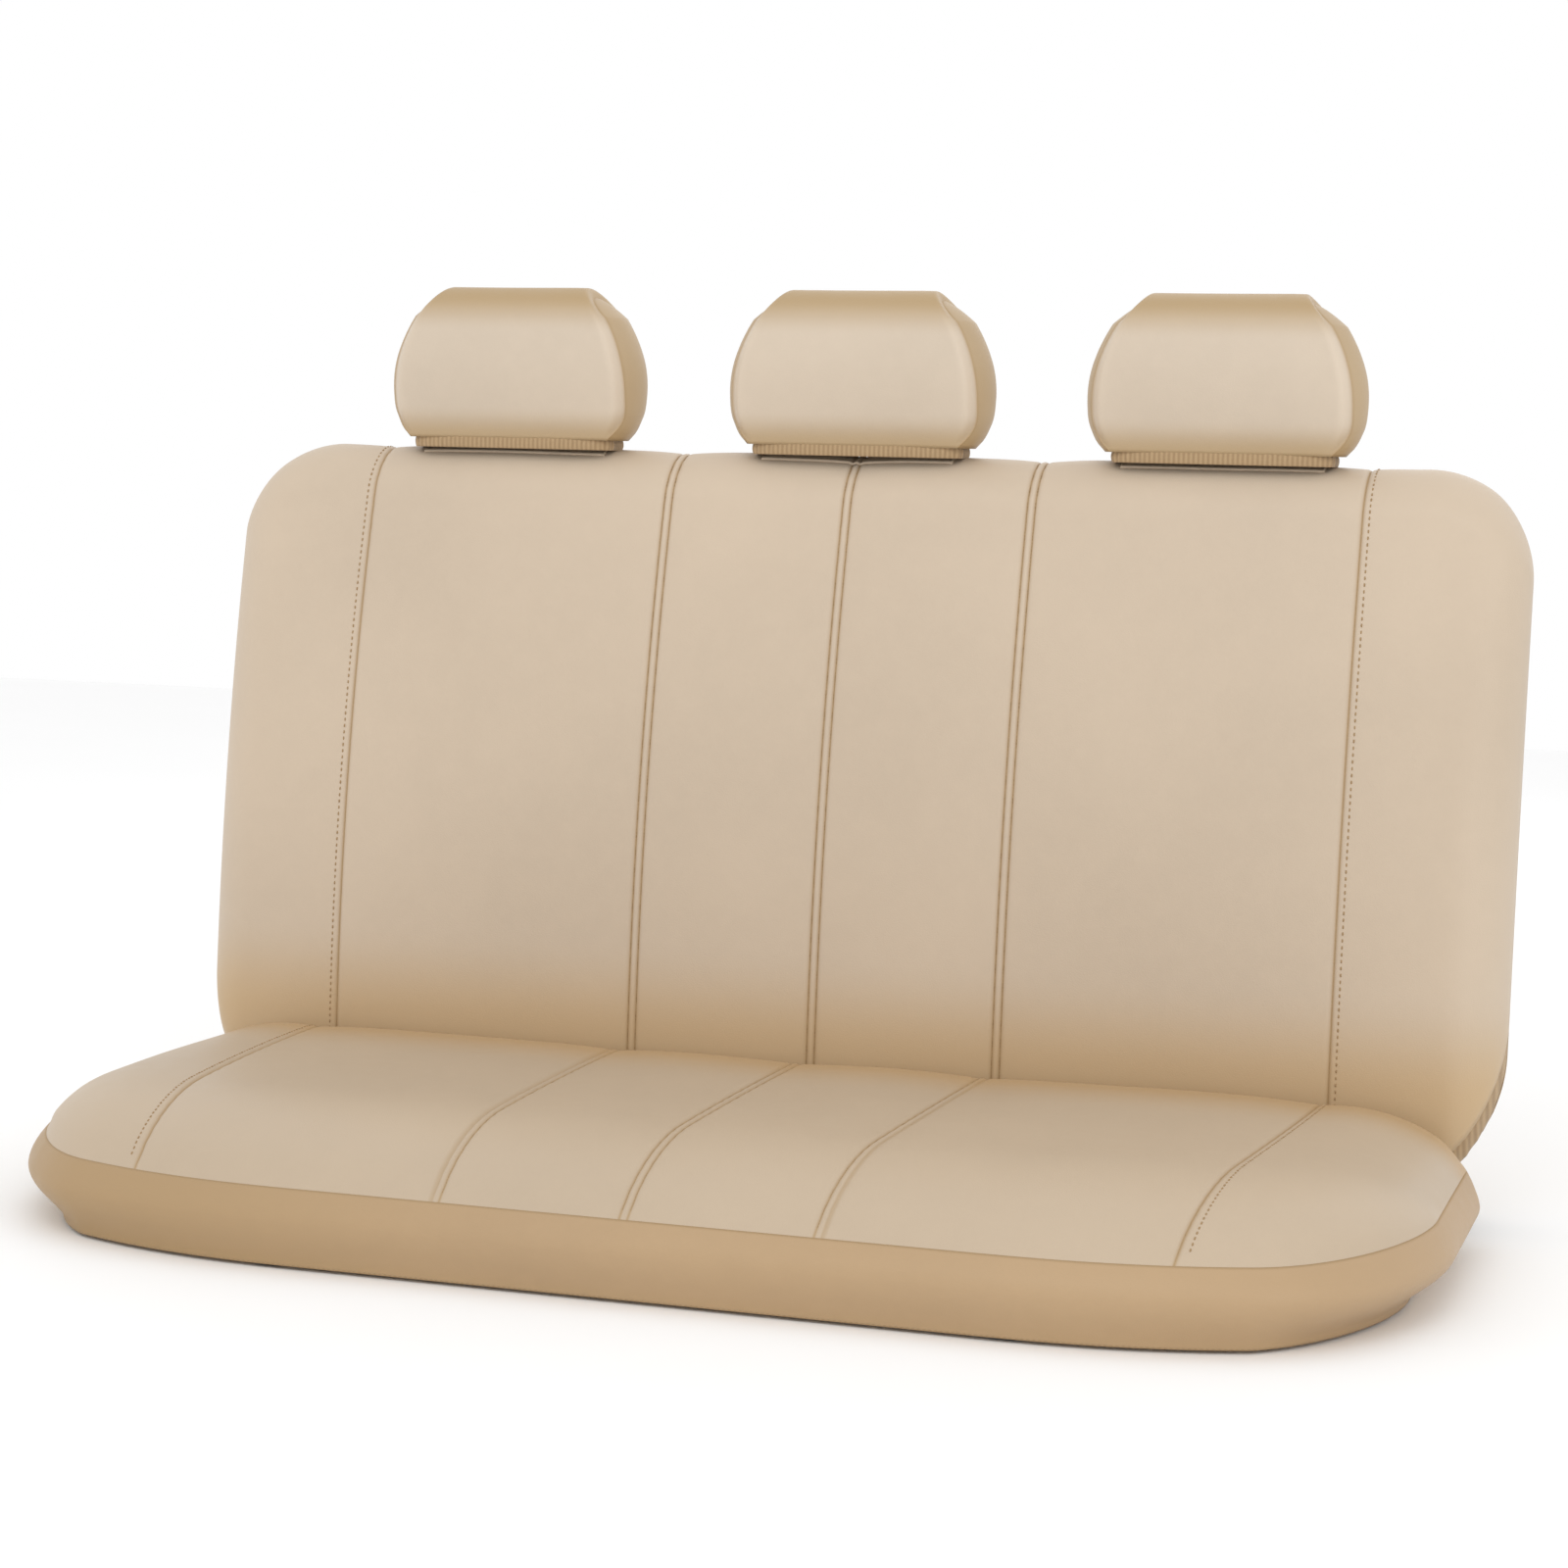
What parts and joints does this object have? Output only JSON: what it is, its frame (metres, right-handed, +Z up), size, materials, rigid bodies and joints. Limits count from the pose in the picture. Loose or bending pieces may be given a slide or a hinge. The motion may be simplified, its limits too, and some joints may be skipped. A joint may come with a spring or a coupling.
{
  "type": "seat cover set",
  "caption": "Fitted cover set for a rear bench seat: panelled cushion and backrest covers with stitched seams and split zips, and separate headrest covers with side gussets.",
  "frame": {"origin": "on the floor, in the middle of the set's box", "axes": "+Z up, -Y to the front of the seat, +X along the bench to the viewer's right"},
  "size_m": [1.34, 0.7273, 0.8746],
  "materials": {
    "leatherette_back": "smooth beige leatherette, satin",
    "leatherette_seat": "smooth beige leatherette, satin",
    "leatherette_boxing": "smooth beige leatherette, satin",
    "leatherette_headrest": "smooth beige leatherette, satin",
    "leatherette_trim": "smooth beige leatherette strip with twin topstitching",
    "rear_knit": "beige stretch knit",
    "elastic_binding": "beige woven elastic binding",
    "zip_tape": "woven zip tape with a nylon coil",
    "zip_metal": "antique brass plating, satin",
    "webbing": "black ribbed webbing",
    "buckle_plastic": "black moulded acetal, fine texture"
  },
  "bodies": {
    "cushion_cover": {"cushion_rear_panel": "rear_knit", "cushion_boxing": "leatherette_boxing", "cushion_bolster_left": "leatherette_seat", "cushion_panel_left": "leatherette_seat", "cushion_panel_centre_left": "leatherette_seat", "cushion_panel_centre_right": "leatherette_seat", "cushion_panel_right": "leatherette_seat", "cushion_bolster_right": "leatherette_seat", "cushion_hem_elastic": "elastic_binding", "strap_left_front": "webbing", "strap_left_rear": "webbing", "buckle_left_socket": "buckle_plastic", "strap_right_front": "webbing", "strap_right_rear": "webbing", "buckle_right_socket": "buckle_plastic"},
    "backrest_cover": {"back_hem_elastic": "elastic_binding", "back_bolster_left": "leatherette_back", "back_panel_left": "leatherette_back", "split_flap_left": "leatherette_trim", "back_panel_centre_left": "leatherette_back", "split_flap_centre": "leatherette_trim", "back_panel_centre_right": "leatherette_back", "split_flap_right": "leatherette_trim", "back_panel_right": "leatherette_back", "back_bolster_right": "leatherette_back", "rear_panel_left": "rear_knit", "rear_panel_centre_left": "rear_knit", "rear_panel_centre_right": "rear_knit", "rear_panel_right": "rear_knit", "zip_left": "zip_tape", "zip_centre": "zip_tape", "zip_right": "zip_tape", "post_slit_patch_left": "elastic_binding", "post_slit_patch_centre": "elastic_binding", "post_slit_patch_right": "elastic_binding"},
    "headrest_cover_left": {"headrest_left_wrap": "leatherette_headrest", "headrest_left_gusset_left": "leatherette_headrest", "headrest_left_gusset_right": "leatherette_headrest", "headrest_left_hem": "elastic_binding"},
    "zip_slider_left": {"zip_slider_left": "zip_metal"},
    "zip_pull_left": {"zip_pull_left": "zip_metal"},
    "headrest_cover_centre": {"headrest_centre_wrap": "leatherette_headrest", "headrest_centre_gusset_left": "leatherette_headrest", "headrest_centre_gusset_right": "leatherette_headrest", "headrest_centre_hem": "elastic_binding"},
    "zip_slider_centre": {"zip_slider_centre": "zip_metal"},
    "zip_pull_centre": {"zip_pull_centre": "zip_metal"},
    "headrest_cover_right": {"headrest_right_wrap": "leatherette_headrest", "headrest_right_gusset_left": "leatherette_headrest", "headrest_right_gusset_right": "leatherette_headrest", "headrest_right_hem": "elastic_binding"},
    "zip_slider_right": {"zip_slider_right": "zip_metal"},
    "zip_pull_right": {"zip_pull_right": "zip_metal"},
    "buckle_plug_left": {"buckle_left_plug": "buckle_plastic"},
    "buckle_plug_right": {"buckle_right_plug": "buckle_plastic"}
  },
  "joints": [
    {"name": "backrest_cover_lift", "type": "slide", "parent": "cushion_cover", "child": "backrest_cover", "axis": [0, 0.126, 0.992], "range_m": [0, 0.65]},
    {"name": "headrest_cover_left_lift", "type": "slide", "parent": "backrest_cover", "child": "headrest_cover_left", "axis": [0, 0.126, 0.992], "range_m": [0, 0.2]},
    {"name": "headrest_cover_centre_lift", "type": "slide", "parent": "backrest_cover", "child": "headrest_cover_centre", "axis": [0, 0.126, 0.992], "range_m": [0, 0.2]},
    {"name": "headrest_cover_right_lift", "type": "slide", "parent": "backrest_cover", "child": "headrest_cover_right", "axis": [0, 0.126, 0.992], "range_m": [0, 0.2]},
    {"name": "zip_left_run", "type": "slide", "parent": "backrest_cover", "child": "zip_slider_left", "axis": [0, 0.1032, 0.9947], "range_m": [0, 0.5]},
    {"name": "zip_pull_left_flip", "type": "hinge", "parent": "zip_slider_left", "child": "zip_pull_left", "pos_m": [-0.188, 0.30767, 0.07941], "axis": [1, 0, 0], "range_deg": [-4, 150]},
    {"name": "zip_centre_run", "type": "slide", "parent": "backrest_cover", "child": "zip_slider_centre", "axis": [0, 0.1032, 0.9947], "range_m": [0, 0.5]},
    {"name": "zip_pull_centre_flip", "type": "hinge", "parent": "zip_slider_centre", "child": "zip_pull_centre", "pos_m": [0, 0.30767, 0.07941], "axis": [1, 0, 0], "range_deg": [-4, 150]},
    {"name": "zip_right_run", "type": "slide", "parent": "backrest_cover", "child": "zip_slider_right", "axis": [0, 0.1032, 0.9947], "range_m": [0, 0.5]},
    {"name": "zip_pull_right_flip", "type": "hinge", "parent": "zip_slider_right", "child": "zip_pull_right", "pos_m": [0.188, 0.30767, 0.07941], "axis": [1, 0, 0], "range_deg": [-4, 150]},
    {"name": "buckle_left_release", "type": "slide", "parent": "cushion_cover", "child": "buckle_plug_left", "axis": [0, 1, 0], "range_m": [0, 0.06]},
    {"name": "buckle_right_release", "type": "slide", "parent": "cushion_cover", "child": "buckle_plug_right", "axis": [0, 1, 0], "range_m": [0, 0.06]}
  ]
}
